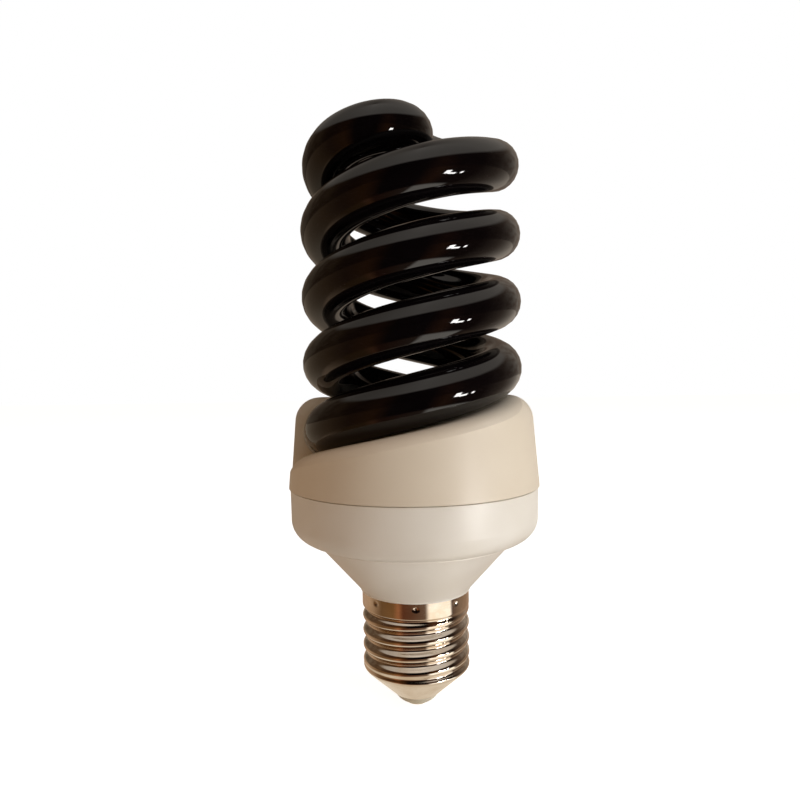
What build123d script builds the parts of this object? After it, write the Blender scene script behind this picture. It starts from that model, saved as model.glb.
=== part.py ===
from build123d import *
import math
import os

os.makedirs("parts", exist_ok=True)

# Millimetres. The lamp's axis is Z, its cap points down and the tip of its centre contact is at Z = 0.

# Heights, each stacked on the one below it: shell, neck, cone, drum with its board, cover and coil
rim_height = 28.5
neck_rise = 0.5
cone_length = 12.7
drum_length = 12.5
board_drop = 5.6
cover_length = 21.4
coil_rise = 7.25
neck_height = rim_height + neck_rise
cup_base = neck_height + cone_length
seam_height = cup_base + drum_length
board_height = seam_height - board_drop
cover_height = seam_height + cover_length
coil_height = cover_height + coil_rise

# Black glass: two strands of one right-handed coil, joined by an S-shaped bridge over the top
tube_radius = 5.85
tube_sides = 24
coil_radius = 20.65
coil_lead = 31.7
bridge_azimuth = 495.0
bridge_span = 144.0
bridge_rise = 11.6
bridge_draw = 1.75
bridge_steps = 7
section_turn = 20.0
sealed_azimuth = -225.0

# Upper cover: a domed cap with one sloping seat under each strand
seam_gap = 0.3
seam_inset = 0.6
cover_margin = 3.85
cover_radius = coil_radius + tube_radius + cover_margin
cover_draft = 4.8
cover_shoulder = 6.0
ramp_shoulder = 5.5
hub_radius = 11.0
wall = 1.6
seat_gap = 0.3
hole_gap = 0.6
cement_gap = 0.15

# Lower cup: a short drum on a cone that ends in the neck
cup_ledge = 0.35
cup_draft = 0.2
cup_radius = cover_radius - cup_ledge
cup_draft_radius = cup_radius - cup_draft
cup_corner = 5.0
step_width = 5.2
step_radius = cup_draft_radius - step_width
step_depth = 0.6
step_in = 0.5
cone_top_radius = step_radius - step_in
neck_radius = 13.5
neck_lip = 0.4
neck_length = 11.0
neck_bore = 10.2
collar_rise = 2.6
collar_wall = 1.4
board_gap = 0.2
slip = 0.15
bead = 0.5
bead_height = 0.6
bead_width = 0.6
rib_count = 8
rib_depth = 3.4
rib_width = 1.2
rib_length = 4.0
nib_count = 4
nib_size = 1.2
nib_length = 2.0
nib_overlap = 0.5

# Screw cap: rolled sheet with an Edison thread, closed by a moulded insulator and a riveted contact
sheet = 0.3
crest_radius = 13.1
root_radius = 12.05
thread_pitch = 25.4 / 7
thread_start = 10.2
thread_end = 26.0
thread_phase = 22.9
thread_foot = 1.45
thread_shoulder = 0.95
thread_crest = 0.7
thread_knee = 0.35
thread_root_depth = 0.1
rim_radius = 13.15
rim_width = 3.9
mouth_radius = 5.95
mouth_height = 2.95
cone_slope = 1.07
cone_blend = 1.5
clear_of_shell = 1.0
touch = 0.05
dome_radius = 3.5
plug_radius = 10.0
contact_radius = 3.0
contact_thick = 0.7
contact_chamfer = 0.4
dome_curve = 4.0
dome_rim = 0.1
plug_rim = 1.0
flare = 0.4
shank_radius = 1.45
shank_bore = 0.95

# Circuit board on the ribs of the cup
board_thick = 1.6
pin_size = 0.8
pin_radius = 21.4
pin_azimuth = 119.0
pin_spread = 3.6
pin_rise = 7.3
pin_top = board_height + board_thick + pin_rise
lead_radius = 0.3
wire_radius = 0.7
pin_tail = 1.0
lead_spread = 3.6
lead_drop = 1.4
lead_bend = 1.5

# Parts on the circuit board
choke_width = 13.0
choke_height = 12.4
choke_depth = 6.0
choke_leg = 3.4
choke_window = 3.2
choke_yoke = 1.8
bobbin_wall = 0.7
capacitor_place = (-3.5, -3.0)
capacitor_radius = 5.0
capacitor_length = 19.0
crimp_drop = 2.4
crimp_depth = 0.5
line_choke_place = (9.5, -9.5)
line_choke_radius = 3.5
line_choke_height = 8.5
toroid_place = (12.0, 8.0)
toroid_outer = 4.8
toroid_inner = 2.6
toroid_height = 3.2
toroid_turn = 0.5
toroid_windings_count = 3
toroid_turns = 3
toroid_step = 22.0
film_places = [
    (165, 15.0, (5.5, 12.0, 6.5)),
    (216, 16.5, (4.0, 8.0, 5.5)),
    (90, 11.0, (4.0, 8.0, 5.5)),
]
transistor_azimuth = 68.0
transistor_radius = 18.0
transistor_width = 8.0
transistor_thick = 3.0
transistor_height = 11.0
transistor_stand = 2.5
transistor_pitch = 2.3
axial_drop = 2.2
axial_lead = 1.2
axial_bend = 0.6
diode_radius = 1.35
diode_length = 5.0
diode_azimuths = (-120, -107, -94, -81)
resistor_radius = 1.1
resistor_length = 5.5
resistor_azimuths = (76, 90, 104)
axial_reach = 19.5
fuse_place = (6.5, 2.0)
fuse_radius = 2.0
fuse_length = 10.0
fuse_drop = 3.0
live_bend = 4.0
neutral_azimuth = 150.0
neutral_drop = 2.5
neutral_bend = 1.8


def strand_height(azimuth):
    """Height of the first strand's centreline at an azimuth in degrees."""
    return coil_height + coil_lead * azimuth / 360


def strand_point(azimuth):
    angle = math.radians(azimuth)
    return Vector(coil_radius * math.cos(angle), coil_radius * math.sin(angle), strand_height(azimuth))


def strand_direction(azimuth):
    """Unit tangent of the first strand, pointing up the coil."""
    angle = math.radians(azimuth)
    climb = coil_lead / (2 * math.pi * coil_radius)
    return Vector(-math.sin(angle), math.cos(angle), climb).normalized()


def coil_line(start, end, lead=coil_lead, radius=coil_radius, height=None):
    """A right-handed helix about Z from one azimuth to another."""
    base = strand_height(start) if height is None else height
    with BuildLine() as line:
        Helix(pitch=lead, height=lead * (end - start) / 360, radius=radius, center=(0, 0, base))
    return line.line.rotate(Axis.Z, start)


def bridge_point(share):
    """A point of the bridge's first half, which winds in from the coil to the axis, slowly at first."""
    angle = math.radians(bridge_azimuth + bridge_span * share)
    radius = coil_radius * math.cos(math.pi / 2 * share**bridge_draw)
    climb = coil_lead * bridge_span / 360 * (share - 2 * share**2 + share**3)
    height = strand_height(bridge_azimuth) + climb + bridge_rise * (3 * share**2 - 2 * share**3)
    return Vector(radius * math.cos(angle), radius * math.sin(angle), height)


def opposite(point):
    """The point half a turn about the lamp's axis away."""
    return Vector(-point.X, -point.Y, point.Z)


def both_sides(part):
    """The part together with its copy half a turn away."""
    return Compound(children=[part, part.rotate(Axis.Z, 180)])


# Discharge tube: one closed length of glass, up one strand, over the bridge and down the other
def glass_section(point, direction):
    """The plane square to the tube at a point, with its X axis level."""
    return Plane(origin=point, x_dir=direction.cross(Vector(0, 0, 1)), z_dir=direction)


def turned_back(plane):
    """The same section of the other strand, which the tube goes down where it came up this one."""
    heading = Vector(plane.z_dir.X, plane.z_dir.Y, -plane.z_dir.Z)
    return glass_section(opposite(plane.origin), heading)


def bridge_section(share):
    """The tube's section at a point of the bridge, square to the way it runs there."""
    step = 0.001
    behind = bridge_point(share - step)
    ahead = bridge_point(share + step) if share < 1 else opposite(behind)
    return glass_section(bridge_point(share), (ahead - behind).normalized())


coil_steps = round((bridge_azimuth - sealed_azimuth) / section_turn)
coil_azimuths = [sealed_azimuth + (bridge_azimuth - sealed_azimuth) * i / coil_steps for i in range(coil_steps + 1)]
rising = [glass_section(strand_point(azimuth), strand_direction(azimuth)) for azimuth in coil_azimuths]
rising += [bridge_section(i / bridge_steps) for i in range(1, bridge_steps)]
falling = [turned_back(plane) for plane in reversed(rising)]
with BuildPart() as discharge_tube:
    for plane in rising + [bridge_section(1)] + falling:
        with BuildSketch(plane):
            RegularPolygon(tube_radius, tube_sides)
    loft()
discharge_tube.part.label = "discharge_tube"
export_step(discharge_tube.part, "parts/discharge_tube.step")

# Upper cover: the outer form less the hollow, each a dome with two helical seats cut into it
lead_angle = math.atan(coil_lead / (2 * math.pi * coil_radius))
tube_half_height = tube_radius / math.cos(lead_angle)
ramp_low = strand_height(-180) - tube_half_height - seat_gap
ramp_shoulder_start = cover_radius - ramp_shoulder
clear_of_cover = 8.0


def cover_form(inset):
    """The cover's outer form, or with an inset the hollow inside it."""
    base = seam_height - (1 if inset else 0)
    lean = math.tan(math.radians(cover_draft))
    foot = cover_radius - inset - (base - seam_height) * lean
    head = cover_radius - inset - (cover_height - inset - seam_height) * lean
    level = ramp_low - inset
    with BuildPart() as seat_cutter:
        with BuildSketch(Plane(origin=(0, 0, 0), x_dir=(-1, 0, 0), z_dir=(0, 1, 0))):
            with BuildLine():
                inner = (hub_radius - inset, level)
                crown = (ramp_shoulder_start, level)
                edge = (cover_radius - inset, level - ramp_shoulder + inset)
                beyond = cover_radius + clear_of_cover
                above = cover_height + clear_of_cover
                Line(inner, crown)
                RadiusArc(crown, edge, ramp_shoulder - inset)
                Polyline(edge, (beyond, edge[1]), (beyond, above), (inner[0], above), inner)
            make_face()
        sweep(path=coil_line(-180, 0), is_frenet=True)
    with BuildPart() as form:
        with BuildSketch(Plane.XZ) as outline:
            with BuildLine():
                Polyline((0, base), (foot, base), (head, cover_height - inset), (0, cover_height - inset), close=True)
            make_face()
            corner = outline.vertices().group_by(Axis.Y)[-1].sort_by(Axis.X)[-1]
            fillet(corner, cover_shoulder - inset)
        revolve(axis=Axis.Z)
        add(both_sides(seat_cutter.part), mode=Mode.SUBTRACT)
    return form.part


outer_form = cover_form(0)
hollow = cover_form(wall)

# The step at the low end of each seat is a wall of its own, with an oval hole that the glass goes through
with BuildPart() as step_wall:
    span = cover_radius - hub_radius + wall
    with Locations((-hub_radius + wall - span / 2, wall / 2, ramp_low - wall)):
        Box(span, wall, cover_height, align=(Align.CENTER, Align.CENTER, Align.MIN))
with BuildPart() as glass_hole:
    drop = math.tan(lead_angle) * wall / 2
    with BuildSketch(Plane.XZ):
        with Locations((-coil_radius, strand_height(-180) - drop)):
            Ellipse(tube_radius + hole_gap, tube_half_height + hole_gap)
    extrude(amount=-wall)
collar_radius = cover_radius - wall - slip - (collar_rise + 1) * math.tan(math.radians(cover_draft))
with BuildPart() as tube_cover:
    add(outer_form)
    add(hollow - both_sides(step_wall.part), mode=Mode.SUBTRACT)
    add(both_sides(glass_hole.part), mode=Mode.SUBTRACT)
    with BuildSketch(Plane.XY.offset(seam_height + bead_height - slip)):
        Circle(collar_radius + bead + slip)
    extrude(amount=bead_width + 2 * slip, mode=Mode.SUBTRACT)
tube_cover.part.label = "tube_cover"
export_step(tube_cover.part, "parts/tube_cover.step")

# Lower cup: drum, rounded base, a small step and a cone, with a neck that goes inside the screw cap.
# Its rim is cut back at the outside, which leaves a thin shadow gap under the cover
neck_top = neck_height - neck_lip
neck_foot = neck_top - neck_length
fit_radius = rim_radius - sheet - touch
plug_fit = root_radius - sheet - touch
cone_lean = math.atan((cone_top_radius - neck_radius) / (cup_base - step_depth - neck_height))
cone_wall = wall / math.cos(cone_lean)
board_radius = collar_radius - collar_wall - board_gap
with BuildPart() as ballast_cup:
    with BuildSketch(Plane.XZ) as outline:
        with BuildLine():
            Polyline(
                (0, neck_foot),
                (plug_fit, neck_foot),
                (plug_fit, neck_top - rim_width),
                (fit_radius, neck_top - rim_width + fit_radius - plug_fit),
                (fit_radius, neck_top),
                (neck_radius, neck_top),
                (neck_radius, neck_height),
                (cone_top_radius, cup_base - step_depth),
                (step_radius, cup_base - step_depth),
                (step_radius, cup_base),
                (cup_draft_radius, cup_base),
                (cup_radius, seam_height - seam_gap),
                (cup_radius - seam_inset, seam_height - seam_gap),
                (cup_radius - seam_inset, seam_height),
                (collar_radius, seam_height),
                (collar_radius, seam_height + collar_rise),
                (0, seam_height + collar_rise),
                close=True,
            )
        make_face()
        corner = outline.vertices().sort_by_distance((cup_draft_radius, cup_base))[0]
        fillet(corner, cup_corner)
    revolve(axis=Axis.Z)
    with BuildSketch(Plane.XZ) as inside:
        with BuildLine():
            Polyline(
                (0, neck_foot - 1),
                (neck_bore, neck_foot - 1),
                (neck_bore, neck_height),
                (neck_radius - cone_wall, neck_height),
                (cone_top_radius - cone_wall, cup_base + wall - step_depth),
                (cup_draft_radius - wall, cup_base + wall),
                (collar_radius - collar_wall, seam_height + collar_rise + 1),
                (0, seam_height + collar_rise + 1),
                close=True,
            )
        make_face()
        corner = inside.vertices().sort_by_distance((cup_draft_radius - wall, cup_base + wall))[0]
        fillet(corner, cup_corner - wall)
    revolve(axis=Axis.Z, mode=Mode.SUBTRACT)
    rib_reach = cup_draft_radius - wall / 2
    with PolarLocations(rib_reach - rib_depth / 2, rib_count):
        with Locations((0, 0, board_height)):
            Box(rib_depth, rib_width, rib_length, align=(Align.CENTER, Align.CENTER, Align.MAX))
    nib_reach = board_radius - nib_overlap
    with PolarLocations(nib_reach + nib_length / 2, nib_count, start_angle=180 / rib_count):
        with Locations((0, 0, board_height + board_thick + touch)):
            Box(nib_length, 2 * nib_size, nib_size, align=(Align.CENTER, Align.CENTER, Align.MIN))
    with BuildSketch(Plane.XY.offset(seam_height + bead_height)) as bead_ring:
        Circle(collar_radius + bead)
        Circle(collar_radius - collar_wall / 2, mode=Mode.SUBTRACT)
    extrude(amount=bead_width)
ballast_cup.part.label = "ballast_cup"
export_step(ballast_cup.part, "parts/ballast_cup.step")


# Screw shell: one rolled sheet, so its inside follows its outside a sheet's thickness in
def shell_form(inset):
    """The shell's outer form without its thread, or with an inset the hollow inside it."""
    crest = crest_radius - inset
    root = root_radius - inset
    rim = rim_radius - inset
    slant = inset * math.hypot(1, cone_slope) / cone_slope
    bend_height = mouth_height + slant + (crest - mouth_radius) / cone_slope
    thread_floor = bend_height + thread_crest
    lip_height = rim_height - rim_width
    profile = [
        (crest, bend_height),
        (crest, thread_floor),
        (root, thread_floor + crest - root),
        (root, lip_height - crest + root),
        (rim, lip_height),
    ]
    if inset:
        mouth = mouth_radius - inset
        below = mouth_height - clear_of_shell
        above = rim_height + clear_of_shell
        profile = [(0, below), (mouth, below), (mouth, mouth_height + slant - inset / cone_slope)] + profile
        profile += [(rim, above), (0, above)]
    else:
        profile = [(0, mouth_height), (mouth_radius, mouth_height)] + profile
        profile += [(rim, rim_height), (0, rim_height)]
    with BuildPart() as form:
        with BuildSketch(Plane.XZ) as outline:
            with BuildLine():
                Polyline(*profile, close=True)
            make_face()
            corner = outline.vertices().sort_by_distance((crest, bend_height))[0]
            fillet(corner, cone_blend)
        revolve(axis=Axis.Z)
    return form.part


def thread_ridge(inset):
    """The rolled crest of the thread, as a ridge that stands on the root."""
    root = root_radius - inset - thread_root_depth
    crest = crest_radius - inset
    knee = crest - thread_knee
    foot_half = thread_foot - inset / 2
    knee_half = thread_shoulder - inset / 2
    crest_half = thread_crest / 2
    start = (thread_start - thread_phase) / thread_pitch * 360 - 90
    end = (thread_end - thread_phase) / thread_pitch * 360 - 90
    with BuildPart() as ridge:
        with BuildSketch(Plane.XZ) as section:
            with Locations((0, thread_start)):
                Polygon(
                    (root, -foot_half),
                    (knee, -knee_half),
                    (crest, -crest_half),
                    (crest, crest_half),
                    (knee, knee_half),
                    (root, foot_half),
                    align=None,
                )
        sweep(path=coil_line(0, end - start, thread_pitch, crest_radius, thread_start), is_frenet=True)
    return ridge.part.rotate(Axis.Z, start)


with BuildPart() as screw_shell:
    add(shell_form(0))
    add(thread_ridge(0))
    add(shell_form(sheet) + thread_ridge(sheet), mode=Mode.SUBTRACT)
screw_shell.part.label = "screw_shell"
export_step(screw_shell.part, "parts/screw_shell.step")

# Insulator: a moulded plug that fills the shell's cone and stands out of its mouth as a dome
slant = sheet * math.hypot(1, cone_slope) / cone_slope
waist_radius = mouth_radius - sheet - touch
waist_height = mouth_height + slant - sheet / cone_slope + touch
plug_height = waist_height + (plug_radius - waist_radius) / cone_slope
with BuildPart() as cap_insulator:
    with BuildSketch(Plane.XZ):
        with BuildLine():
            dome_foot = (dome_radius, contact_thick)
            dome_top = (waist_radius, mouth_height - dome_rim)
            Polyline((shank_radius + touch, contact_thick), dome_foot)
            RadiusArc(dome_foot, dome_top, -dome_curve)
            Polyline(
                dome_top,
                (waist_radius, waist_height),
                (plug_radius, plug_height),
                (plug_radius, plug_height + plug_rim),
                (shank_radius + touch, plug_height + plug_rim),
                (shank_radius + touch, contact_thick),
            )
        make_face()
    revolve(axis=Axis.Z)
cap_insulator.part.label = "cap_insulator"
export_step(cap_insulator.part, "parts/cap_insulator.step")

# Centre contact: a flat-headed tubular rivet, flared over the top of the insulator
rivet_top = plug_height + plug_rim
with BuildPart() as centre_contact:
    Cylinder(contact_radius, contact_thick, align=(Align.CENTER, Align.CENTER, Align.MIN))
    chamfer(centre_contact.edges().group_by(Axis.Z)[0], contact_chamfer)
    with Locations((0, 0, contact_thick)):
        Cylinder(shank_radius, rivet_top + flare - contact_thick, align=(Align.CENTER, Align.CENTER, Align.MIN))
    with Locations((0, 0, rivet_top)):
        Cylinder(shank_radius + flare, flare, align=(Align.CENTER, Align.CENTER, Align.MIN))
    with Locations((0, 0, contact_thick / 2)):
        Cylinder(shank_bore, cover_height, align=(Align.CENTER, Align.CENTER, Align.MIN), mode=Mode.SUBTRACT)
centre_contact.part.label = "centre_contact"
export_step(centre_contact.part, "parts/centre_contact.step")

# Circuit board with the four square pins that the filament leads are wound on
board_top = board_height + board_thick
pin_angles = [
    side + pin_azimuth + way * math.degrees(pin_spread / 2 / pin_radius) for side in (0, 180) for way in (-1, 1)
]
pin_places = [
    (pin_radius * math.cos(math.radians(angle)), pin_radius * math.sin(math.radians(angle))) for angle in pin_angles
]
with BuildPart() as circuit_board:
    with Locations((0, 0, board_height)):
        Cylinder(board_radius, board_thick, align=(Align.CENTER, Align.CENTER, Align.MIN))
    with Locations([(x, y, board_top) for x, y in pin_places]):
        Hole(pin_size / math.sqrt(2) + touch)
circuit_board.part.label = "circuit_board"
export_step(circuit_board.part, "parts/circuit_board.step")
with BuildPart() as wrap_pins:
    with BuildSketch(Plane.XY.offset(board_height - pin_tail)):
        with Locations(pin_places):
            Rectangle(pin_size, pin_size)
    extrude(amount=pin_top - board_height + pin_tail)
wrap_pins.part.label = "wrap_pins"
export_step(wrap_pins.part, "parts/wrap_pins.step")


# Leads: two from each sealed end of the glass, running on past it and then down to their pins
def round_wire(points, bends, radius):
    """A wire of straight runs joined by tangent arcs."""
    with BuildPart() as wire:
        with BuildLine() as route:
            FilletPolyline(*points, radius=bends)
        with BuildSketch(route.line ^ 0):
            Circle(radius)
        sweep()
    return wire.part


sealed_end = strand_point(sealed_azimuth)
outward = strand_direction(sealed_azimuth) * -1
with BuildPart() as tube_leads:
    for pin, side in zip(pin_places[:2], (1, -1)):
        radial = Vector(math.cos(math.radians(sealed_azimuth)), math.sin(math.radians(sealed_azimuth)), 0)
        start = sealed_end + radial * side * lead_spread / 2 + outward * lead_radius / 2
        above_pin = Vector(pin[0], pin[1], sealed_end.Z - lead_drop)
        foot = Vector(pin[0], pin[1], pin_top)
        lead = round_wire([start, above_pin, foot], lead_bend, lead_radius)
        add(both_sides(lead))
tube_leads.part.label = "tube_leads"
export_step(tube_leads.part, "parts/tube_leads.step")

# Cement: a ring of it fills the oval hole round the glass at the low end of each seat
cement_azimuth = -180 - math.degrees(wall / 2 / coil_radius)
with BuildPart() as end_cement:
    with BuildSketch(Plane.XZ):
        with Locations((-coil_radius, strand_height(-180) - drop)):
            Ellipse(tube_radius + hole_gap - touch, tube_half_height + hole_gap - touch)
    extrude(amount=-wall)
    with BuildSketch(glass_section(strand_point(cement_azimuth), strand_direction(cement_azimuth))):
        Circle(tube_radius + cement_gap)
    extrude(amount=2 * wall, both=True, mode=Mode.SUBTRACT)
    other_ring = end_cement.part.rotate(Axis.Z, 180)
    add(other_ring)
end_cement.part.label = "end_cement"
export_step(end_cement.part, "parts/end_cement.step")

# Choke on top of the board, inside the hub: a two-window core, its bobbin and the winding
with BuildPart() as choke_core:
    with BuildSketch(Plane.XZ):
        with Locations((0, board_top + choke_height / 2)):
            Rectangle(choke_width, choke_height)
            with Locations((choke_leg / 2 + choke_window / 2, 0), (-choke_leg / 2 - choke_window / 2, 0)):
                Rectangle(choke_window, choke_height - 2 * choke_yoke, mode=Mode.SUBTRACT)
    extrude(amount=choke_depth / 2, both=True)
choke_core.part.label = "choke_core"
export_step(choke_core.part, "parts/choke_core.step")
bobbin_low = board_top + choke_yoke + slip
bobbin_high = board_top + choke_height - choke_yoke - slip
barrel_x = choke_leg / 2 + slip + bobbin_wall
barrel_y = choke_depth / 2 + slip + bobbin_wall
flange_x = choke_leg / 2 + choke_window - slip
flange_y = barrel_y + choke_window - bobbin_wall
with BuildPart() as choke_bobbin:
    for low in (bobbin_low, bobbin_high - bobbin_wall):
        with BuildSketch(Plane.XY.offset(low)):
            RectangleRounded(2 * flange_x, 2 * flange_y, bobbin_wall)
        extrude(amount=bobbin_wall)
    with BuildSketch(Plane.XY.offset(bobbin_low)):
        Rectangle(2 * barrel_x, 2 * barrel_y)
    extrude(amount=bobbin_high - bobbin_low)
    with BuildSketch(Plane.XY.offset(bobbin_low)):
        Rectangle(choke_leg + 2 * slip, choke_depth + 2 * slip)
    extrude(amount=bobbin_high - bobbin_low, mode=Mode.SUBTRACT)
choke_bobbin.part.label = "choke_bobbin"
export_step(choke_bobbin.part, "parts/choke_bobbin.step")
with BuildPart() as choke_winding:
    with BuildSketch(Plane.XY.offset(bobbin_low + bobbin_wall + touch)):
        RectangleRounded(2 * (flange_x - bobbin_wall), 2 * (flange_y - bobbin_wall), 2 * bobbin_wall)
        Rectangle(2 * (barrel_x + touch), 2 * (barrel_y + touch), mode=Mode.SUBTRACT)
    extrude(amount=bobbin_high - bobbin_low - 2 * (bobbin_wall + touch))
choke_winding.part.label = "choke_winding"
export_step(choke_winding.part, "parts/choke_winding.step")

# Under the board: the smoothing capacitor reaches down the cone, beside the line choke and the drive toroid
with BuildPart() as smoothing_capacitor:
    with BuildSketch(Plane(origin=(*capacitor_place, 0), x_dir=(1, 0, 0), z_dir=(0, -1, 0))):
        with BuildLine():
            top = board_height
            Polyline(
                (0, top),
                (capacitor_radius, top),
                (capacitor_radius, top - crimp_drop),
                (capacitor_radius - crimp_depth, top - crimp_drop - crimp_depth),
                (capacitor_radius, top - crimp_drop - 2 * crimp_depth),
                (capacitor_radius, top - capacitor_length),
                (0, top - capacitor_length),
                close=True,
            )
        make_face()
    revolve(axis=Axis((*capacitor_place, 0), (0, 0, 1)))
smoothing_capacitor.part.label = "smoothing_capacitor"
export_step(smoothing_capacitor.part, "parts/smoothing_capacitor.step")
with BuildPart() as line_choke:
    with Locations((*line_choke_place, board_height)):
        Cylinder(line_choke_radius, line_choke_height, align=(Align.CENTER, Align.CENTER, Align.MAX))
    with BuildSketch(Plane.XY.offset(board_height - line_choke_height + bobbin_wall)):
        with Locations(line_choke_place):
            Circle(line_choke_radius)
            Circle(line_choke_radius - bobbin_wall / 2, mode=Mode.SUBTRACT)
    extrude(amount=line_choke_height - 2 * bobbin_wall, mode=Mode.SUBTRACT)
line_choke.part.label = "line_choke"
export_step(line_choke.part, "parts/line_choke.step")
toroid_plane = Plane.XY.offset(board_height - toroid_turn - toroid_height)
with BuildPart() as toroid_core:
    with BuildSketch(toroid_plane):
        with Locations(toroid_place):
            Circle(toroid_outer)
            Circle(toroid_inner, mode=Mode.SUBTRACT)
    extrude(amount=toroid_height)
toroid_core.part.label = "toroid_core"
export_step(toroid_core.part, "parts/toroid_core.step")
with BuildPart() as toroid_windings:
    middle = (toroid_outer + toroid_inner) / 2
    section = toroid_outer - toroid_inner
    for winding in range(toroid_windings_count):
        for turn in range(toroid_turns):
            azimuth = 360 / toroid_windings_count * winding + toroid_step * turn
            hub = Plane(origin=(*toroid_place, toroid_plane.origin.Z + toroid_height / 2)).rotated((0, 0, azimuth))
            with BuildSketch(Plane(origin=hub.origin, x_dir=hub.x_dir, z_dir=hub.y_dir)):
                with Locations((middle, 0)):
                    Rectangle(section + 2 * toroid_turn, toroid_height + 2 * toroid_turn)
                    Rectangle(section + 2 * touch, toroid_height + 2 * touch, mode=Mode.SUBTRACT)
            extrude(amount=toroid_turn / 2, both=True)
toroid_windings.part.label = "toroid_windings"
export_step(toroid_windings.part, "parts/toroid_windings.step")
with BuildPart() as film_capacitors:
    for azimuth, reach, (depth, width, height) in film_places:
        with BuildSketch(Plane.XY.offset(board_height).rotated((0, 0, azimuth))):
            with Locations((reach, 0)):
                RectangleRounded(depth, width, depth / 4)
        extrude(amount=-height)
film_capacitors.part.label = "film_capacitors"
export_step(film_capacitors.part, "parts/film_capacitors.step")

# Two transistors stand on the board under the high ends of the seats, each on three leads
with BuildPart() as transistors:
    for azimuth in (transistor_azimuth, transistor_azimuth + 180):
        foot = Plane.XY.offset(board_top).rotated((0, 0, azimuth))
        with BuildSketch(foot):
            with Locations((transistor_radius, 0)):
                with GridLocations(0, transistor_pitch, 1, 3):
                    Rectangle(pin_size / 2, pin_size)
        extrude(amount=transistor_stand)
        with BuildSketch(foot.offset(transistor_stand)):
            with Locations((transistor_radius, 0)):
                Rectangle(transistor_thick, transistor_width)
        extrude(amount=transistor_height)
transistors.part.label = "transistors"
export_step(transistors.part, "parts/transistors.step")


# Axial parts lie under the board like spokes, each held off it by the bent ends of its own leads
def axial_row(radius, length, azimuths):
    """Small cylinders on straight leads, with a leg at each end up to the board."""
    leg_reach = length / 2 + axial_lead
    level = board_height - axial_drop
    inner = axial_reach - leg_reach
    outer = axial_reach + leg_reach
    route = [(inner, 0, board_height), (inner, 0, level), (outer, 0, level), (outer, 0, board_height)]
    with BuildPart() as single:
        add(round_wire(route, axial_bend, lead_radius))
        with Locations((axial_reach, 0, level)):
            Cylinder(radius, length, rotation=(0, 90, 0))
    return Compound(children=[single.part.rotate(Axis.Z, azimuth) for azimuth in azimuths])


rectifier_diodes = axial_row(diode_radius, diode_length, diode_azimuths)
rectifier_diodes.label = "rectifier_diodes"
export_step(rectifier_diodes, "parts/rectifier_diodes.step")
resistors = axial_row(resistor_radius, resistor_length, resistor_azimuths)
resistors.label = "resistors"
export_step(resistors, "parts/resistors.step")

# Supply: a sleeved fusible resistor and a lead to the contact, and a second lead to the shell
fuse_low = board_height - fuse_drop - fuse_length
with BuildPart() as fusible_resistor:
    with BuildSketch(Plane.XY.offset(fuse_low)):
        with Locations(fuse_place):
            Circle(fuse_radius)
    extrude(amount=fuse_length)
    with BuildSketch(Plane.XY.offset(fuse_low + fuse_length)):
        with Locations(fuse_place):
            Circle(lead_radius)
    extrude(amount=fuse_drop)
fusible_resistor.part.label = "fusible_resistor"
export_step(fusible_resistor.part, "parts/fusible_resistor.step")
live_route = [(*fuse_place, fuse_low), (*fuse_place, neck_top), (0, 0, rivet_top + 2 * live_bend), (0, 0, contact_thick)]
live_wire = round_wire(live_route, live_bend, wire_radius)
live_wire.label = "live_wire"
export_step(live_wire, "parts/live_wire.step")
neutral_reach = neck_bore - wire_radius - slip
neutral_end = root_radius - sheet - wire_radius - touch
neutral_x = math.cos(math.radians(neutral_azimuth))
neutral_y = math.sin(math.radians(neutral_azimuth))
neutral_route = [
    (neutral_x * neutral_reach, neutral_y * neutral_reach, board_height),
    (neutral_x * neutral_reach, neutral_y * neutral_reach, neck_foot),
    (neutral_x * neutral_end, neutral_y * neutral_end, neck_foot - neutral_drop),
    (neutral_x * neutral_end, neutral_y * neutral_end, neck_foot - 2 * neutral_drop),
]
neutral_wire = round_wire(neutral_route, neutral_bend, wire_radius)
neutral_wire.label = "neutral_wire"
export_step(neutral_wire, "parts/neutral_wire.step")
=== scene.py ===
import math

import bpy
from mathutils import Matrix, Vector


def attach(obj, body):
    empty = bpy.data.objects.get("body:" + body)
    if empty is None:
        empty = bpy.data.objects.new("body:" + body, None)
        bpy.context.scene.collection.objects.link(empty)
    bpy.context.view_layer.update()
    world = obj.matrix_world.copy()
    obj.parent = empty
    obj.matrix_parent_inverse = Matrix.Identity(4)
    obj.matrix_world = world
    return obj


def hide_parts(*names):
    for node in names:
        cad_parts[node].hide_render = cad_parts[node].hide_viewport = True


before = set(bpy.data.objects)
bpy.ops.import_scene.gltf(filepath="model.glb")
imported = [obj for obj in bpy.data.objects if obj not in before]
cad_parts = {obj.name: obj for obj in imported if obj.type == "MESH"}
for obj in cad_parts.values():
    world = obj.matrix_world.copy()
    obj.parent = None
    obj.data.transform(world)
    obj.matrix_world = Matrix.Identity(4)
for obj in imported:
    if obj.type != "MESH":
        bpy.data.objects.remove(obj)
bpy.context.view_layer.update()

MM = 0.001


def linear(code):
    """An sRGB hex colour as the linear colour that a shader takes."""
    channels = [int(code[i : i + 2], 16) / 255 for i in (0, 2, 4)]
    return [c / 12.92 if c <= 0.04045 else ((c + 0.055) / 1.055) ** 2.4 for c in channels] + [1.0]


def add_node(tree, kind, values=None, links=None, **settings):
    """Adds a shader node with its settings, its sockets' values and what is plugged into them."""
    made = tree.nodes.new("ShaderNode" + kind)
    for name, value in settings.items():
        setattr(made, name, value)
    for name, value in (values or {}).items():
        made.inputs[name].default_value = value
    for name, source in (links or {}).items():
        tree.links.new(source, made.inputs[name])
    return made


def new_finish(name):
    """A material with an empty node tree, apart from its output."""
    finish = bpy.data.materials.new(name)
    finish.use_nodes = True
    finish.node_tree.nodes.clear()
    return finish, finish.node_tree


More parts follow.
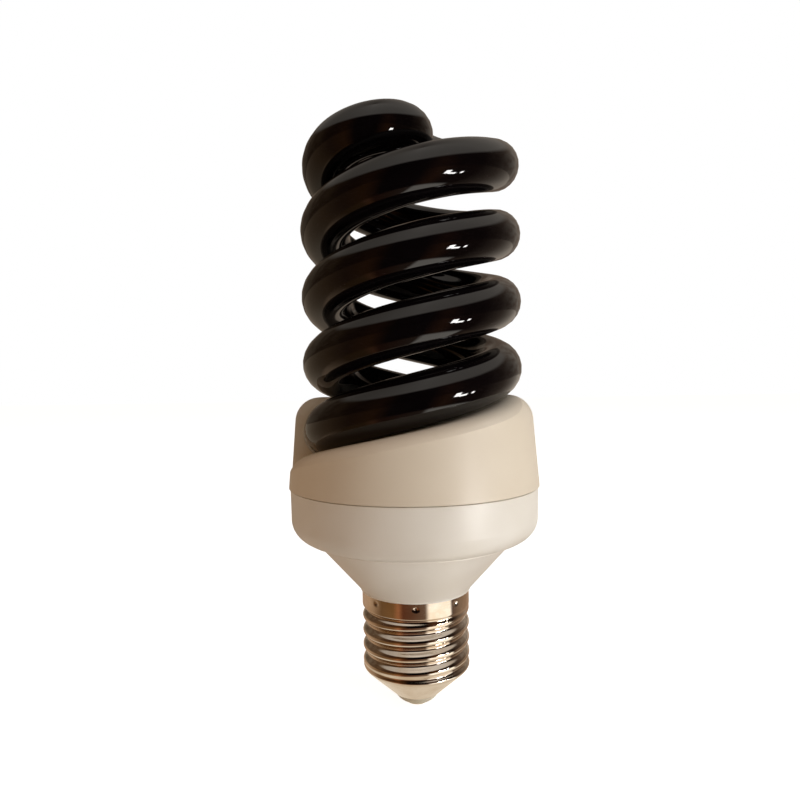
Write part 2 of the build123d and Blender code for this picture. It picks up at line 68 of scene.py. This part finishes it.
def close_finish(tree, shader):
    """Plugs a material's last shader into its output."""
    add_node(tree, "OutputMaterial", links={"Surface": shader.outputs[0]})


def stops(ramp, colours):
    """Sets a colour ramp's stops from (position, hex colour) pairs."""
    band = ramp.color_ramp
    while len(band.elements) < len(colours):
        band.elements.new(1.0)
    for stop, (position, code) in zip(band.elements, colours):
        stop.position = position
        stop.color = linear(code)


def grained(tree, scale_mm, stretch=(1, 1, 1), detail=3.0, roughness=0.5):
    """Noise on Object coordinates with grains of about scale_mm, longer along a stretched axis."""
    where = add_node(tree, "TexCoord")
    stretched = add_node(
        tree,
        "Mapping",
        values={"Scale": [1 / s for s in stretch]},
        links={"Vector": where.outputs["Object"]},
    )
    return add_node(
        tree,
        "TexNoise",
        values={"Scale": 1 / (scale_mm * MM), "Detail": detail, "Roughness": roughness},
        links={"Vector": stretched.outputs["Vector"]},
    )


def moulded_plastic(name, light, dark, roughness, grain_mm=0.35, relief_mm=0.004, cloud_mm=18.0):
    """Injection-moulded plastic: an even, slightly cloudy colour and the mould's fine grain."""
    finish, tree = new_finish(name)
    cloud = grained(tree, cloud_mm, detail=2.0)
    colour = add_node(tree, "ValToRGB", links={"Fac": cloud.outputs["Fac"]})
    stops(colour, [(0.35, dark), (0.65, light)])
    grain = grained(tree, grain_mm, detail=4.0)
    gloss = add_node(
        tree,
        "MapRange",
        values={"To Min": roughness - 0.05, "To Max": roughness + 0.05},
        links={"Value": grain.outputs["Fac"]},
    )
    relief = add_node(
        tree,
        "Bump",
        values={"Strength": 0.25, "Distance": relief_mm * MM},
        links={"Height": grain.outputs["Fac"]},
    )
    shader = add_node(
        tree,
        "BsdfPrincipled",
        values={"IOR": 1.5},
        links={
            "Base Color": colour.outputs["Color"],
            "Roughness": gloss.outputs["Result"],
            "Normal": relief.outputs["Normal"],
        },
    )
    close_finish(tree, shader)
    return finish


def filter_glass(name):
    """Black glass drawn to a tube: a mirror-smooth skin with long, very shallow draw waves."""
    finish, tree = new_finish(name)
    cloud = grained(tree, 12.0, detail=1.0)
    colour = add_node(tree, "ValToRGB", links={"Fac": cloud.outputs["Fac"]})
    stops(colour, [(0.3, "060405"), (0.7, "0a0708")])
    waves = grained(tree, 7.0, stretch=(1, 1, 0.6), detail=1.0)
    relief = add_node(
        tree,
        "Bump",
        values={"Strength": 0.3, "Distance": 0.1 * MM},
        links={"Height": waves.outputs["Fac"]},
    )
    smears = grained(tree, 5.0, detail=2.0)
    gloss = add_node(
        tree,
        "MapRange",
        values={"To Min": 0.02, "To Max": 0.07},
        links={"Value": smears.outputs["Fac"]},
    )
    shader = add_node(
        tree,
        "BsdfPrincipled",
        values={"IOR": 1.52},
        links={
            "Base Color": colour.outputs["Color"],
            "Roughness": gloss.outputs["Result"],
            "Normal": relief.outputs["Normal"],
        },
    )
    close_finish(tree, shader)
    return finish


def plated_metal(name, light, dark, roughness, streak=(1, 1, 0.05), streak_mm=6.0):
    """Rolled or drawn metal, brightly plated: faint streaks left by the rolls and a few dull spots."""
    finish, tree = new_finish(name)
    stain = grained(tree, 5.0, detail=4.0)
    colour = add_node(tree, "ValToRGB", links={"Fac": stain.outputs["Fac"]})
    stops(colour, [(0.3, dark), (0.6, light)])
    streaks = grained(tree, streak_mm, stretch=streak, detail=3.0)
    gloss = add_node(
        tree,
        "MapRange",
        values={"From Min": 0.3, "From Max": 0.7, "To Min": roughness * 0.6, "To Max": roughness * 1.5},
        links={"Value": streaks.outputs["Fac"]},
    )
    relief = add_node(
        tree,
        "Bump",
        values={"Strength": 0.1, "Distance": 0.01 * MM},
        links={"Height": streaks.outputs["Fac"]},
    )
    shader = add_node(
        tree,
        "BsdfPrincipled",
        values={"Metallic": 1.0},
        links={
            "Base Color": colour.outputs["Color"],
            "Roughness": gloss.outputs["Result"],
            "Normal": relief.outputs["Normal"],
        },
    )
    close_finish(tree, shader)
    return finish


# A wave texture of scale 1 turns its phase by this many radians for each unit of length
WAVE_PHASE = 20


def wound_wire(name, light, dark, band_mm, relief_mm, axis):
    """Enamelled copper wire wound in layers: rounded bands of turns, with painted shade where two bands
    meet.
    """
    finish, tree = new_finish(name)
    where = add_node(tree, "TexCoord")
    turns = add_node(
        tree,
        "TexWave",
        values={"Scale": 2 * math.pi / (band_mm * MM) / WAVE_PHASE, "Distortion": 0.0},
        links={"Vector": where.outputs["Object"]},
        wave_type="BANDS",
        bands_direction=axis,
    )
    colour = add_node(tree, "ValToRGB", links={"Fac": turns.outputs["Fac"]})
    # Painted shade: the copper turns dark towards the line where two bands meet
    stops(colour, [(0.1, dark), (0.6, light)])
    relief = add_node(
        tree,
        "Bump",
        values={"Strength": 0.6, "Distance": relief_mm * MM},
        links={"Height": turns.outputs["Fac"]},
    )
    shader = add_node(
        tree,
        "BsdfPrincipled",
        values={"IOR": 1.5, "Metallic": 0.6, "Roughness": 0.32},
        links={"Base Color": colour.outputs["Color"], "Normal": relief.outputs["Normal"]},
    )
    close_finish(tree, shader)
    return finish


def fibre_board(name):
    """Phenolic paper laminate: brown, with short fibres and a matte, slightly waxy face."""
    finish, tree = new_finish(name)
    fibres = grained(tree, 1.2, stretch=(6, 1, 1), detail=5.0)
    colour = add_node(tree, "ValToRGB", links={"Fac": fibres.outputs["Fac"]})
    stops(colour, [(0.3, "8a6a3c"), (0.7, "b08f5b")])
    relief = add_node(
        tree,
        "Bump",
        values={"Strength": 0.2, "Distance": 0.02 * MM},
        links={"Height": fibres.outputs["Fac"]},
    )
    shader = add_node(
        tree,
        "BsdfPrincipled",
        values={"IOR": 1.5, "Roughness": 0.6},
        links={"Base Color": colour.outputs["Color"], "Normal": relief.outputs["Normal"]},
    )
    close_finish(tree, shader)
    return finish


def porous_filler(name, light, dark, pore_mm, roughness):
    """Cast cement or pressed ferrite: a dry, matte face with fine pores."""
    finish, tree = new_finish(name)
    pores = grained(tree, pore_mm, detail=6.0, roughness=0.7)
    colour = add_node(tree, "ValToRGB", links={"Fac": pores.outputs["Fac"]})
    stops(colour, [(0.35, dark), (0.6, light)])
    relief = add_node(
        tree,
        "Bump",
        values={"Strength": 0.5, "Distance": 0.05 * MM},
        links={"Height": pores.outputs["Fac"]},
    )
    shader = add_node(
        tree,
        "BsdfPrincipled",
        values={"IOR": 1.5, "Roughness": roughness},
        links={"Base Color": colour.outputs["Color"], "Normal": relief.outputs["Normal"]},
    )
    close_finish(tree, shader)
    return finish


# Finishes of the outside
tube_glass = filter_glass("black_filter_glass_drawn")
cover_plastic = moulded_plastic("PBT_cover_moulded", "e6dac6", "e1d4bf", 0.36)
cup_plastic = moulded_plastic("PBT_cup_moulded", "f2ede3", "ece6da", 0.34)
shell_nickel = plated_metal("nickel_plated_brass_rolled", "d9cfc4", "c9b9a6", 0.10)
contact_nickel = plated_metal(
    "nickel_plated_brass_headed", "cfc6b8", "a8977f", 0.22, streak=(1, 1, 1), streak_mm=1.5
)
insulator_plastic = moulded_plastic("urea_insulator_moulded", "e2dac6", "d6ccb2", 0.42, cloud_mm=4.0)

# Finishes of the inside
inner_finishes = {
    "circuit_board": fibre_board("phenolic_paper_board_pressed"),
    "wrap_pins": plated_metal("tinned_brass_pins_drawn", "cfccc4", "aaa69c", 0.3),
    "tube_leads": plated_metal("nickel_iron_leads_drawn", "b8b2a8", "8f887c", 0.3),
    "end_cement": porous_filler("white_cement_cast", "e4e1d8", "c9c4b6", 0.8, 0.85),
    "choke_core": porous_filler("ferrite_core_pressed", "3a393b", "242325", 0.4, 0.6),
    "choke_bobbin": moulded_plastic("nylon_bobbin_moulded", "2c2c2c", "222222", 0.5),
    "choke_winding": wound_wire("enamelled_copper_wound", "b5673a", "5c2a12", 1.57, 0.083, "Z"),
    "smoothing_capacitor": moulded_plastic("PVC_sleeve_shrunk", "24262b", "1b1c20", 0.35),
    "line_choke": porous_filler("ferrite_drum_pressed", "38373a", "262527", 0.4, 0.55),
    "toroid_core": porous_filler("ferrite_ring_coated", "2f4a3c", "223a2e", 0.4, 0.45),
    "toroid_windings": wound_wire("enamelled_copper_turns", "b5673a", "6c3418", 3.14, 0.167, "Z"),
    "film_capacitors": moulded_plastic("epoxy_dip_red", "8f2f1e", "7a2415", 0.2, cloud_mm=3.0),
    "transistors": moulded_plastic("epoxy_package_moulded", "2a2a2c", "1f1f21", 0.55),
    "rectifier_diodes": moulded_plastic("epoxy_diode_moulded", "242426", "1a1a1c", 0.5),
    "resistors": moulded_plastic("resistor_lacquer_dipped", "c9a873", "b8945f", 0.4, cloud_mm=2.0),
    "fusible_resistor": moulded_plastic("silicone_sleeve_drawn", "dedbd0", "cfcabb", 0.5, cloud_mm=3.0),
    "live_wire": moulded_plastic("PVC_wire_red_drawn", "a8281f", "942018", 0.4, cloud_mm=4.0),
    "neutral_wire": moulded_plastic("PVC_wire_black_drawn", "26262a", "1c1c20", 0.4, cloud_mm=4.0),
}


def finish_node(name, finish):
    """Gives a carried-over node its finish in every one of its material slots."""
    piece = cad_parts[name]
    for slot in piece.material_slots:
        slot.material = finish
    if not piece.material_slots:
        piece.data.materials.append(finish)


outer_finishes = {
    "tube_cover": cover_plastic,
    "ballast_cup": cup_plastic,
    "cap_insulator": insulator_plastic,
    "centre_contact": contact_nickel,
    "discharge_tube": tube_glass,
    "screw_shell": shell_nickel,
}
for node_name, node_finish in {**outer_finishes, **inner_finishes}.items():
    finish_node(node_name, node_finish)


def deselect():
    """Leaves edit mode and selects nothing, so that the next operator works on its own piece."""
    if bpy.context.object and bpy.context.object.mode != "OBJECT":
        bpy.ops.object.mode_set(mode="OBJECT")
    bpy.ops.object.select_all(action="DESELECT")


def name_piece(name):
    """Names the piece that the last operator made, and its data."""
    piece = bpy.context.object
    piece.name = name
    piece.data.name = name
    return piece


# Discharge tube: a round tube drawn along the coil, over the bridge and down the other strand
TUBE_RADIUS = 5.85 * MM
COIL_RADIUS = 20.65 * MM
COIL_LEAD = 31.7 * MM
COIL_HEIGHT = 82.85 * MM
BRIDGE_AZIMUTH = 495.0
BRIDGE_SPAN = 144.0
BRIDGE_RISE = 11.6 * MM
BRIDGE_DRAW = 1.75
BRIDGE_CLIMB = COIL_LEAD * BRIDGE_SPAN / 360
SEALED_AZIMUTH = -225.0
COIL_STEPS = 36
BRIDGE_STEPS = 10
NUDGE = 0.001


def strand_point(azimuth):
    """A point of the first strand's centreline."""
    angle = math.radians(azimuth)
    height = COIL_HEIGHT + COIL_LEAD * azimuth / 360
    return Vector((COIL_RADIUS * math.cos(angle), COIL_RADIUS * math.sin(angle), height))


def bridge_point(share):
    """A point of the bridge's first half, which winds in from the coil to the axis, slowly at first.

    It leaves the coil with the coil's own slope and is level where it meets the axis.
    """
    angle = math.radians(BRIDGE_AZIMUTH + BRIDGE_SPAN * share)
    reach = COIL_RADIUS * math.cos(math.pi / 2 * share**BRIDGE_DRAW)
    climb = BRIDGE_CLIMB * (share - 2 * share**2 + share**3)
    rise = BRIDGE_RISE * (3 * share**2 - 2 * share**3)
    height = strand_point(BRIDGE_AZIMUTH).z + climb + rise
    return Vector((reach * math.cos(angle), reach * math.sin(angle), height))


def slope(curve, at, step=NUDGE):
    """How fast a curve's point moves for each unit of its parameter."""
    return (curve(at + step) - curve(at - step)) / (2 * step)


def tube_route():
    """The tube's centreline from one sealed end to the other, as a Bezier curve's knots.

    Each knot is a point with the arm of the handle before it and the arm of the one after it.
    """
    stretch = (BRIDGE_AZIMUTH - SEALED_AZIMUTH) / COIL_STEPS
    route = []
    for i in range(COIL_STEPS + 1):
        azimuth = SEALED_AZIMUTH + stretch * i
        arm = slope(strand_point, azimuth, 0.1) * stretch / 3
        route.append((strand_point(azimuth), arm, arm))
    length = 1 / BRIDGE_STEPS / 3
    point, before, _ = route[-1]
    route[-1] = (point, before, slope(bridge_point, NUDGE) * length)
    for i in range(1, BRIDGE_STEPS):
        share = i / BRIDGE_STEPS
        arm = slope(bridge_point, share) * length
        route.append((bridge_point(share), arm, arm))
    middle = slope(bridge_point, 1 - NUDGE) * length
    middle.z = 0
    half_turn = Matrix.Rotation(math.pi, 3, "Z")
    back = [
        (half_turn @ point, -(half_turn @ after), -(half_turn @ before))
        for point, before, after in reversed(route)
    ]
    return route + [(bridge_point(1), middle, middle)] + back


def draw_tube():
    """The glass: a round bevel along the centreline, as a mesh."""
    deselect()
    bpy.ops.curve.primitive_bezier_curve_add(location=(0, 0, 0))
    line = bpy.context.object
    route = tube_route()
    spline = line.data.splines[0]
    spline.bezier_points.add(len(route) - len(spline.bezier_points))
    for knot, (point, before, after) in zip(spline.bezier_points, route):
        knot.handle_left_type = knot.handle_right_type = "FREE"
        knot.co = point
        knot.handle_left = point - before
        knot.handle_right = point + after
    line.data.resolution_u = 8
    line.data.bevel_depth = TUBE_RADIUS
    line.data.bevel_resolution = 10
    line.data.use_fill_caps = True
    bpy.ops.object.convert(target="MESH")
    bpy.ops.object.shade_smooth_by_angle(angle=math.radians(40))
    return name_piece("spiral_glass")


spiral_glass = draw_tube()
spiral_glass.data.materials.clear()
spiral_glass.data.materials.append(tube_glass)
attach(spiral_glass, "root")
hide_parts("discharge_tube")

# Screw shell: a turned profile whose wall is rolled into an Edison thread, as thick as its sheet.
# The mouth and the top of its cone are given as (radius, height)
MOUTH = (5.95 * MM, 2.95 * MM)
CONE_TOP = (13.1 * MM, 9.63 * MM)
RIM_RADIUS = 13.15 * MM
RIM_HEIGHT = 28.5 * MM
ROOT_RADIUS = 12.05 * MM
THREAD_PITCH = 25.4 / 7 * MM
CREST_AT_FRONT = 22.9 * MM
CREST_FULLNESS = 0.12
THREAD_RUN_IN = (9.9 * MM, 11.6 * MM)
THREAD_RUN_OUT = (23.6 * MM, 25.0 * MM)
SHEET = 0.3 * MM
SHELL_ROW = 0.22 * MM
SHELL_STEPS = 240
CONE_ROWS = 24
CORNER_ROUNDS = 3
STAKE_COUNT = 8
STAKE_HEIGHT = 27.3 * MM
STAKE_RADIUS = 0.75 * MM
STAKE_DEPTH = 0.38 * MM


def ease(value, low, high):
    """Goes smoothly from 0 at low to 1 at high."""
    share = min(max((value - low) / (high - low), 0), 1)
    return share * share * (3 - 2 * share)


def rolled_radius(azimuth, height):
    """The shell's radius above its cone: a thread that runs out into the plain wall at both ends."""
    widening = ease(height, THREAD_RUN_IN[1], THREAD_RUN_OUT[0])
    plain = CONE_TOP[0] + (RIM_RADIUS - CONE_TOP[0]) * widening
    turn = (height - CREST_AT_FRONT) / THREAD_PITCH - (azimuth + math.pi / 2) / (2 * math.pi)
    wave = 0.5 + 0.5 * math.cos(2 * math.pi * turn)
    wave = wave + CREST_FULLNESS * math.sin(math.pi * wave)
    threaded = ROOT_RADIUS + (CONE_TOP[0] - ROOT_RADIUS) * min(wave, 1)
    share = ease(height, *THREAD_RUN_IN) * (1 - ease(height, *THREAD_RUN_OUT))
    return plain + (threaded - plain) * share


def stake_depth(azimuth, height):
    """How deep the punch marks, which fix the shell to the neck, press in a point of the wall."""
    pitch = 2 * math.pi / STAKE_COUNT
    bearing = azimuth + math.pi / 2
    away = (bearing - round(bearing / pitch) * pitch) * RIM_RADIUS
    distance = math.hypot(away, height - STAKE_HEIGHT)
    return STAKE_DEPTH * (1 - ease(distance, 0, STAKE_RADIUS))


def shell_profile():
    """The shell's side from its mouth to its rim, with its corners rounded by averaging."""
    mouth, top = (Vector((radius, 0, height)) for radius, height in (MOUTH, CONE_TOP))
    rim = Vector((CONE_TOP[0], 0, RIM_HEIGHT))
    rows = round((RIM_HEIGHT - CONE_TOP[1]) / SHELL_ROW)
    profile = [mouth.lerp(top, i / CONE_ROWS) for i in range(CONE_ROWS)]
    profile += [top.lerp(rim, i / rows) for i in range(rows + 1)]
    for _ in range(CORNER_ROUNDS):
        profile[1:-1] = [(a + 2 * b + c) / 4 for a, b, c in zip(profile, profile[1:], profile[2:])]
    return profile


def roll_shell():
    """The shell: its profile spun round the axis, rolled, punched and thickened inwards."""
    profile = shell_profile()
    deselect()
    bpy.ops.mesh.primitive_plane_add(size=1, location=(0, 0, 0))
    bpy.ops.object.mode_set(mode="EDIT")
    bpy.ops.mesh.delete(type="VERT")
    bpy.ops.object.mode_set(mode="OBJECT")
    piece = name_piece("rolled_shell")
    piece.data.from_pydata(profile, [(i, i + 1) for i in range(len(profile) - 1)], [])
    bpy.ops.object.mode_set(mode="EDIT")
    bpy.ops.mesh.select_all(action="SELECT")
    bpy.ops.mesh.spin(steps=SHELL_STEPS, angle=2 * math.pi, center=(0, 0, 0), axis=(0, 0, 1))
    bpy.ops.mesh.select_all(action="SELECT")
    bpy.ops.mesh.remove_doubles(threshold=0.001 * MM)
    bpy.ops.mesh.normals_make_consistent(inside=False)
    bpy.ops.object.mode_set(mode="OBJECT")
    for vertex in piece.data.vertices:
        x, y, z = vertex.co
        azimuth = math.atan2(y, x)
        radius = math.hypot(x, y)
        if z > CONE_TOP[1]:
            radius += rolled_radius(azimuth, z) - CONE_TOP[0]
        radius -= stake_depth(azimuth, z)
        vertex.co = (radius * math.cos(azimuth), radius * math.sin(azimuth), z)
    wall = piece.modifiers.new("sheet", "SOLIDIFY")
    wall.thickness = SHEET
    wall.offset = -1
    bpy.ops.object.modifier_apply(modifier=wall.name)
    bpy.ops.object.shade_smooth_by_angle(angle=math.radians(50))
    return piece


rolled_shell = roll_shell()
rolled_shell.data.materials.clear()
rolled_shell.data.materials.append(shell_nickel)
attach(rolled_shell, "root")
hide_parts("screw_shell")


# Floor, light and camera
def compass(tree, way):
    """The bearing of a point or a direction round the lamp, from -pi to pi; 0 is in front of it."""
    front = add_node(tree, "Math", operation="MULTIPLY", values={1: -1.0}, links={0: way.outputs["Y"]})
    return add_node(tree, "Math", operation="ARCTAN2", links={0: way.outputs["X"], 1: front.outputs[0]})


def direction_ramp(tree, angle, colours):
    """A colour for each bearing round the lamp: stops 0 and 1 are behind it and 0.5 is in front."""
    share = add_node(
        tree,
        "MapRange",
        values={"From Min": -math.pi, "From Max": math.pi},
        links={"Value": angle.outputs[0]},
    )
    ramp = add_node(tree, "ValToRGB", links={"Fac": share.outputs["Result"]})
    stops(ramp, colours)
    return ramp


# Painted reflection: what the lamp mirrors of a table under it, which the floor shows glossy rays as a
# glow though the scene holds no table:
# paper under the lamp in painted shade, then brown wood with a painted window's light on it at the
# right front, and the room's own colours farther out
# Painted shade: the paper right under the lamp, greyed as if in the lamp's shade, for the painted
# reflection
PAPER_IN_SHADE = "b6aa98"
PAPER_EDGE = (22 * MM, 30 * MM)
TABLE_EDGE = (95 * MM, 112 * MM)
TABLE_REFLECTION = [
    (0.00, "8c7562"),
    (0.09, "8c7562"),
    (0.20, "988068"),
    (0.30, "5a4229"),
    (0.375, "65482a"),
    (0.405, "885a3c"),
    (0.43, "51301f"),
    (0.48, "543a2b"),
    (0.552, "604e41"),
    # Painted highlight: a window's light on the table, which the nickel mirrors as a bright strip
    (0.572, "fff8ec"),
    (0.70, "fcf6ea"),
    (0.712, "4c3c34"),
    (0.76, "6e5c4c"),
    (0.90, "8c7562"),
    (1.00, "8c7562"),
]


# The room that the lamp mirrors above the table: dark and brown in front, lighter behind it, and a
# pale ceiling that takes over where the sine of the elevation passes through CEILING_EDGE
ROOM = [
    (0.00, "7c7064"),
    (0.10, "746859"),
    (0.25, "6a533c"),
    (0.33, "4b3423"),
    (0.40, "5c3a1c"),
    (0.45, "120c0a"),
    (0.55, "0e0807"),
    (0.60, "5a3820"),
    (0.65, "2c1c12"),
    (0.72, "2c2018"),
    (0.80, "6a5c50"),
    (0.90, "b0a598"),
    (1.00, "7c7064"),
]
CEILING = [(0.0, "8a8178"), (0.25, "b8afa4"), (0.5, "f0e8de"), (0.75, "d8d0c6"), (1.0, "8a8178")]
CEILING_EDGE = (0.55, 0.64)
CLUTTER = [(0.4, "d8ccc6"), (0.6, "ffffff")]
# The light that the room gives the plastic from each side
BOUNCE = [(0.0, "8c8680"), (0.3, "8a6c50"), (0.5, "7c6854"), (0.75, "8c8a88")]

TABLE_STRENGTH = 1.75
BOUNCE_STRENGTH = 0.84
FLOOR_GLOW = 0.88
FLOOR_SIZE = 6


def painted_table_reflection(tree):
    """A painted reflection of the table, by bearing and by distance from the lamp: an emission that the
    floor shows to glossy rays.
    """
    where = add_node(tree, "TexCoord")
    way = add_node(tree, "SeparateXYZ", links={"Vector": where.outputs["Object"]})
    reach = add_node(tree, "VectorMath", operation="LENGTH", links={0: where.outputs["Object"]})
    angle = compass(tree, way)
    colour = direction_ramp(tree, angle, [(0.0, PAPER_IN_SHADE), (1.0, PAPER_IN_SHADE)])
    for (near, far), colours in [(PAPER_EDGE, TABLE_REFLECTION), (TABLE_EDGE, ROOM)]:
        share = add_node(
            tree,
            "MapRange",
            values={"From Min": near, "From Max": far},
            links={"Value": reach.outputs["Value"]},
        )
        beyond = direction_ramp(tree, angle, colours)
        colour = add_node(
            tree,
            "MixRGB",
            links={
                "Fac": share.outputs["Result"],
                "Color1": colour.outputs["Color"],
                "Color2": beyond.outputs["Color"],
            },
        )
    return add_node(
        tree,
        "Emission",
        values={"Strength": TABLE_STRENGTH},
        links={"Color": colour.outputs["Color"]},
    )


def studio_floor():
    """White paper that takes the lamp's shadow; to glossy rays it glows instead with a painted
    reflection of a table.
    """
    deselect()
    bpy.ops.mesh.primitive_plane_add(size=FLOOR_SIZE, location=(0, 0, 0))
    floor = name_piece("studio_floor")
    finish, tree = new_finish("white_paper_sweep_painted_reflection")
    fibres = grained(tree, 3.0, detail=3.0)
    colour = add_node(tree, "ValToRGB", links={"Fac": fibres.outputs["Fac"]})
    stops(colour, [(0.3, "e4e1dc"), (0.7, "e8e6e1")])
    paper = add_node(tree, "BsdfDiffuse", links={"Color": colour.outputs["Color"]})
    path = add_node(tree, "LightPath")
    strength = add_node(
        tree,
        "Math",
        operation="MULTIPLY",
        values={1: FLOOR_GLOW},
        links={0: path.outputs["Is Camera Ray"]},
    )
    white = add_node(tree, "Emission", links={"Strength": strength.outputs[0]})
    both = add_node(tree, "AddShader", links={0: paper.outputs[0], 1: white.outputs[0]})
    # Painted reflection: glossy rays see the floor glow with the table's colours instead of the paper
    painted_reflection = painted_table_reflection(tree)
    seen = add_node(
        tree,
        "MixShader",
        links={0: path.outputs["Is Glossy Ray"], 1: both.outputs[0], 2: painted_reflection.outputs[0]},
    )
    close_finish(tree, seen)
    floor.data.materials.append(finish)


studio_floor()


LIGHT_AIM = Vector((0, 0, 75 * MM))


def light_box(name, azimuth, elevation, distance, size, radiance, colour, seen=True):
    """A rectangular light that looks at the lamp, by its bearing, elevation and distance in metres.

    Azimuth 0 is in front of the lamp and 90 at its right. Glass and metal mirror it only if seen.
    """
    turn, tilt = math.radians(azimuth), math.radians(elevation)
    level = math.cos(tilt)
    way = Vector((math.sin(turn) * level, -math.cos(turn) * level, math.sin(tilt)))
    bpy.ops.object.light_add(type="AREA", location=LIGHT_AIM + way * distance)
    lamp = name_piece(name)
    lamp.data.shape = "RECTANGLE"
    lamp.data.size, lamp.data.size_y = size
    lamp.data.energy = radiance * math.pi * size[0] * size[1]
    lamp.data.color = linear(colour)[:3]
    lamp.rotation_mode = "QUATERNION"
    lamp.rotation_quaternion = way.to_track_quat("Z", "Y")
    lamp.visible_glossy = seen


PANE_DISTANCE = 0.25
PANE_RADIANCE = 26
PANE_COLOUR = "fffdfa"
DAYLIGHT = "f8faff"
LAMPLIGHT = "ffcc98"

for pane, azimuth, elevation, size in [
    ("pane_tall", 46, -10, (0.026, 0.044)),
    ("pane_low", 53, -14.5, (0.036, 0.02)),
    ("pane_far", 63, -12, (0.013, 0.022)),
]:
    light_box(pane, azimuth, elevation, PANE_DISTANCE, size, PANE_RADIANCE, PANE_COLOUR)
light_box("soft_right", 46, -4, 0.8, (0.7, 0.7), 1.5, DAYLIGHT, seen=False)
light_box("soft_above", 70, 55, 0.8, (0.6, 0.6), 2.4, DAYLIGHT, seen=False)
light_box("lamp_left", -75, 5, 0.9, (0.6, 0.6), 0.95, LAMPLIGHT, seen=False)


def mirrored_room(tree, where, way):
    """The room's walls, broken up a little by what stands there, under its ceiling."""
    angle = compass(tree, way)
    noise = add_node(
        tree,
        "TexNoise",
        values={"Scale": 6.0, "Detail": 4.0},
        links={"Vector": where.outputs["Generated"]},
    )
    clutter = add_node(tree, "ValToRGB", links={"Fac": noise.outputs["Fac"]})
    stops(clutter, CLUTTER)
    plain = direction_ramp(tree, angle, ROOM)
    walls = add_node(
        tree,
        "MixRGB",
        values={"Fac": 1.0},
        links={"Color1": plain.outputs["Color"], "Color2": clutter.outputs["Color"]},
        blend_type="MULTIPLY",
    )
    low, high = CEILING_EDGE
    share = add_node(
        tree,
        "MapRange",
        values={"From Min": low, "From Max": high},
        links={"Value": way.outputs["Z"]},
    )
    ceiling = direction_ramp(tree, angle, CEILING)
    return add_node(
        tree,
        "MixRGB",
        links={
            "Fac": share.outputs["Result"],
            "Color1": walls.outputs["Color"],
            "Color2": ceiling.outputs["Color"],
        },
    )


def room_light():
    """White for the camera, a warm bounce for matt surfaces, and the room for mirroring ones."""
    room = bpy.data.worlds.new("room")
    bpy.context.scene.world = room
    room.use_nodes = True
    tree = room.node_tree
    tree.nodes.clear()
    where = add_node(tree, "TexCoord")
    way = add_node(tree, "SeparateXYZ", links={"Vector": where.outputs["Generated"]})
    walls = mirrored_room(tree, where, way)
    mirror = add_node(tree, "Background", links={"Color": walls.outputs["Color"]})
    bounce = direction_ramp(tree, compass(tree, way), BOUNCE)
    ambient = add_node(
        tree,
        "Background",
        values={"Strength": BOUNCE_STRENGTH},
        links={"Color": bounce.outputs["Color"]},
    )
    white = add_node(tree, "Background", values={"Color": (1, 1, 1, 1), "Strength": 1.0})
    path = add_node(tree, "LightPath")
    sharp = add_node(
        tree,
        "Math",
        operation="MAXIMUM",
        links={0: path.outputs["Is Glossy Ray"], 1: path.outputs["Is Transmission Ray"]},
    )
    light = add_node(
        tree,
        "MixShader",
        links={0: sharp.outputs[0], 1: ambient.outputs[0], 2: mirror.outputs[0]},
    )
    seen = add_node(
        tree,
        "MixShader",
        links={0: path.outputs["Is Camera Ray"], 1: light.outputs[0], 2: white.outputs[0]},
    )
    add_node(tree, "OutputWorld", links={"Surface": seen.outputs[0]})


room_light()


def photo_camera():
    """The photograph's own view: a wide lens close to the lamp, level with the coil's foot."""
    distance = 152.913 * MM
    height = 74.643 * MM
    tilt, roll, pan = (math.radians(angle) for angle in (1.463, -0.932, -1.155))
    focal_px, photo_px = 620.881, 800
    ahead = Vector((math.sin(pan) * math.cos(tilt), math.cos(pan) * math.cos(tilt), -math.sin(tilt)))
    level = Vector((math.cos(pan), -math.sin(pan), 0))
    up = level.cross(ahead)
    right = math.cos(roll) * level + math.sin(roll) * up
    above = -math.sin(roll) * level + math.cos(roll) * up
    place = Vector((0, -distance * math.cos(tilt), height + distance * math.sin(tilt)))
    bpy.ops.object.camera_add(location=place)
    camera = name_piece("camera")
    turn = Matrix((right, above, -ahead)).transposed().to_4x4()
    camera.matrix_world = Matrix.Translation(place) @ turn
    camera.data.sensor_width = 36
    camera.data.lens = focal_px * camera.data.sensor_width / photo_px
    camera.data.clip_start = 5 * MM
    camera.data.dof.use_dof = False
    bpy.context.scene.camera = camera


photo_camera()
bpy.context.scene.view_settings.view_transform = "Standard"
